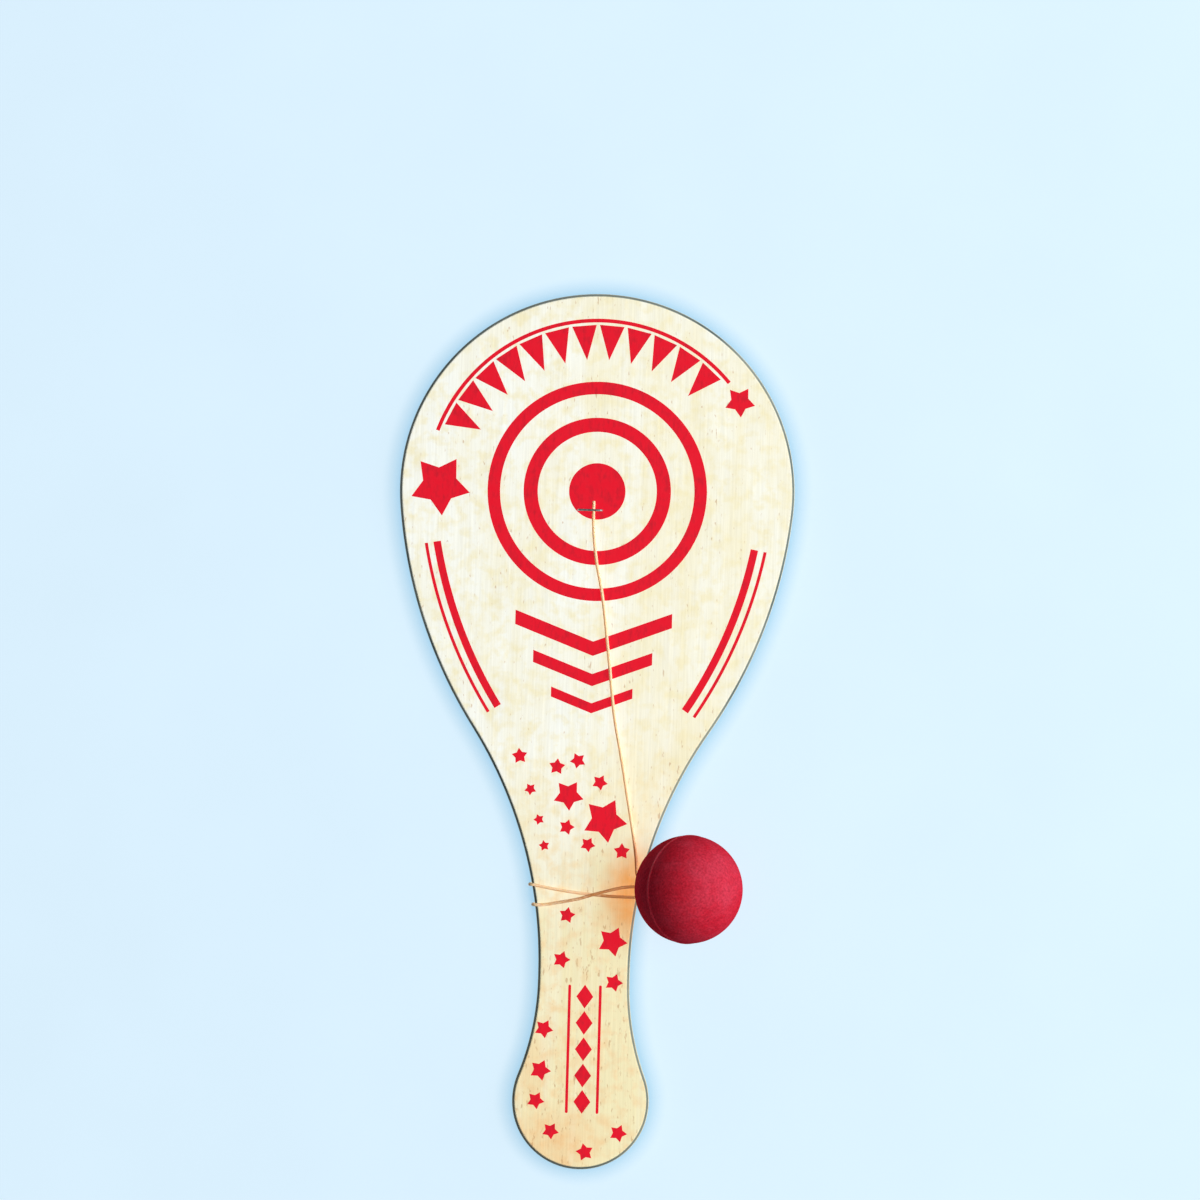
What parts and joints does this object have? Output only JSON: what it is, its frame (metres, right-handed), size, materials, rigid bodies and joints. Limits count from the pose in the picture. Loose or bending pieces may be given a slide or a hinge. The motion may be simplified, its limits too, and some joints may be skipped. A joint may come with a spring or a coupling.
{
  "type": "paddle ball game",
  "caption": "Round-bladed plywood bat with a rubber ball on an elastic thread, stapled to the blade and wound round the neck for storage.",
  "frame": {"origin": "under the middle of the paddle's outline, on the surface that the game lies on", "axes": "+Y towards the top of the blade, +Z out of the paddle's front face, +X to the ball's side"},
  "size_m": [0.126, 0.2794, 0.0344],
  "materials": {
    "face_veneer": "pale basswood veneer, sanded, unsealed",
    "core_veneer": "cross-grain veneer seen at the edge, sawn",
    "printed_ink": "screen-printed ink, soaked into the veneer",
    "staple_wire": "galvanised wire",
    "latex_thread": "natural latex thread, powdered",
    "ball_rubber": "moulded sponge rubber, matte"
  },
  "bodies": {
    "paddle": {"front_ply": "face_veneer", "core_ply": "core_veneer", "back_ply": "face_veneer", "staple": "staple_wire", "elastic_face_run": "latex_thread", "elastic_winding": "latex_thread"},
    "strand": {"elastic_strand": "latex_thread"},
    "lead": {"elastic_lead": "latex_thread"},
    "thread_end": {"elastic_knotted_end": "latex_thread"},
    "ball": {"ball": "ball_rubber"}
  },
  "joints": [
    {"name": "strand_lift", "type": "hinge", "parent": "paddle", "child": "strand", "pos_m": [-0.0146, -0.0556, 0.0072], "axis": [0, -1, 0], "range_deg": [0, 75]},
    {"name": "elastic_stretch", "type": "slide", "parent": "strand", "child": "lead", "axis": [1, 0, 0], "range_m": [0, 0.11], "stiffness_N_per_m": 20},
    {"name": "ball_swing", "type": "hinge", "parent": "lead", "child": "thread_end", "pos_m": [0.01737, -0.049, 0.0067], "axis": [0, -1, 0], "range_deg": [0, 55]},
    {"name": "ball_spin", "type": "hinge", "parent": "thread_end", "child": "ball", "pos_m": [0.01737, -0.049, 0.0067], "axis": [0.8218, 0, 0.5698], "continuous": true}
  ]
}
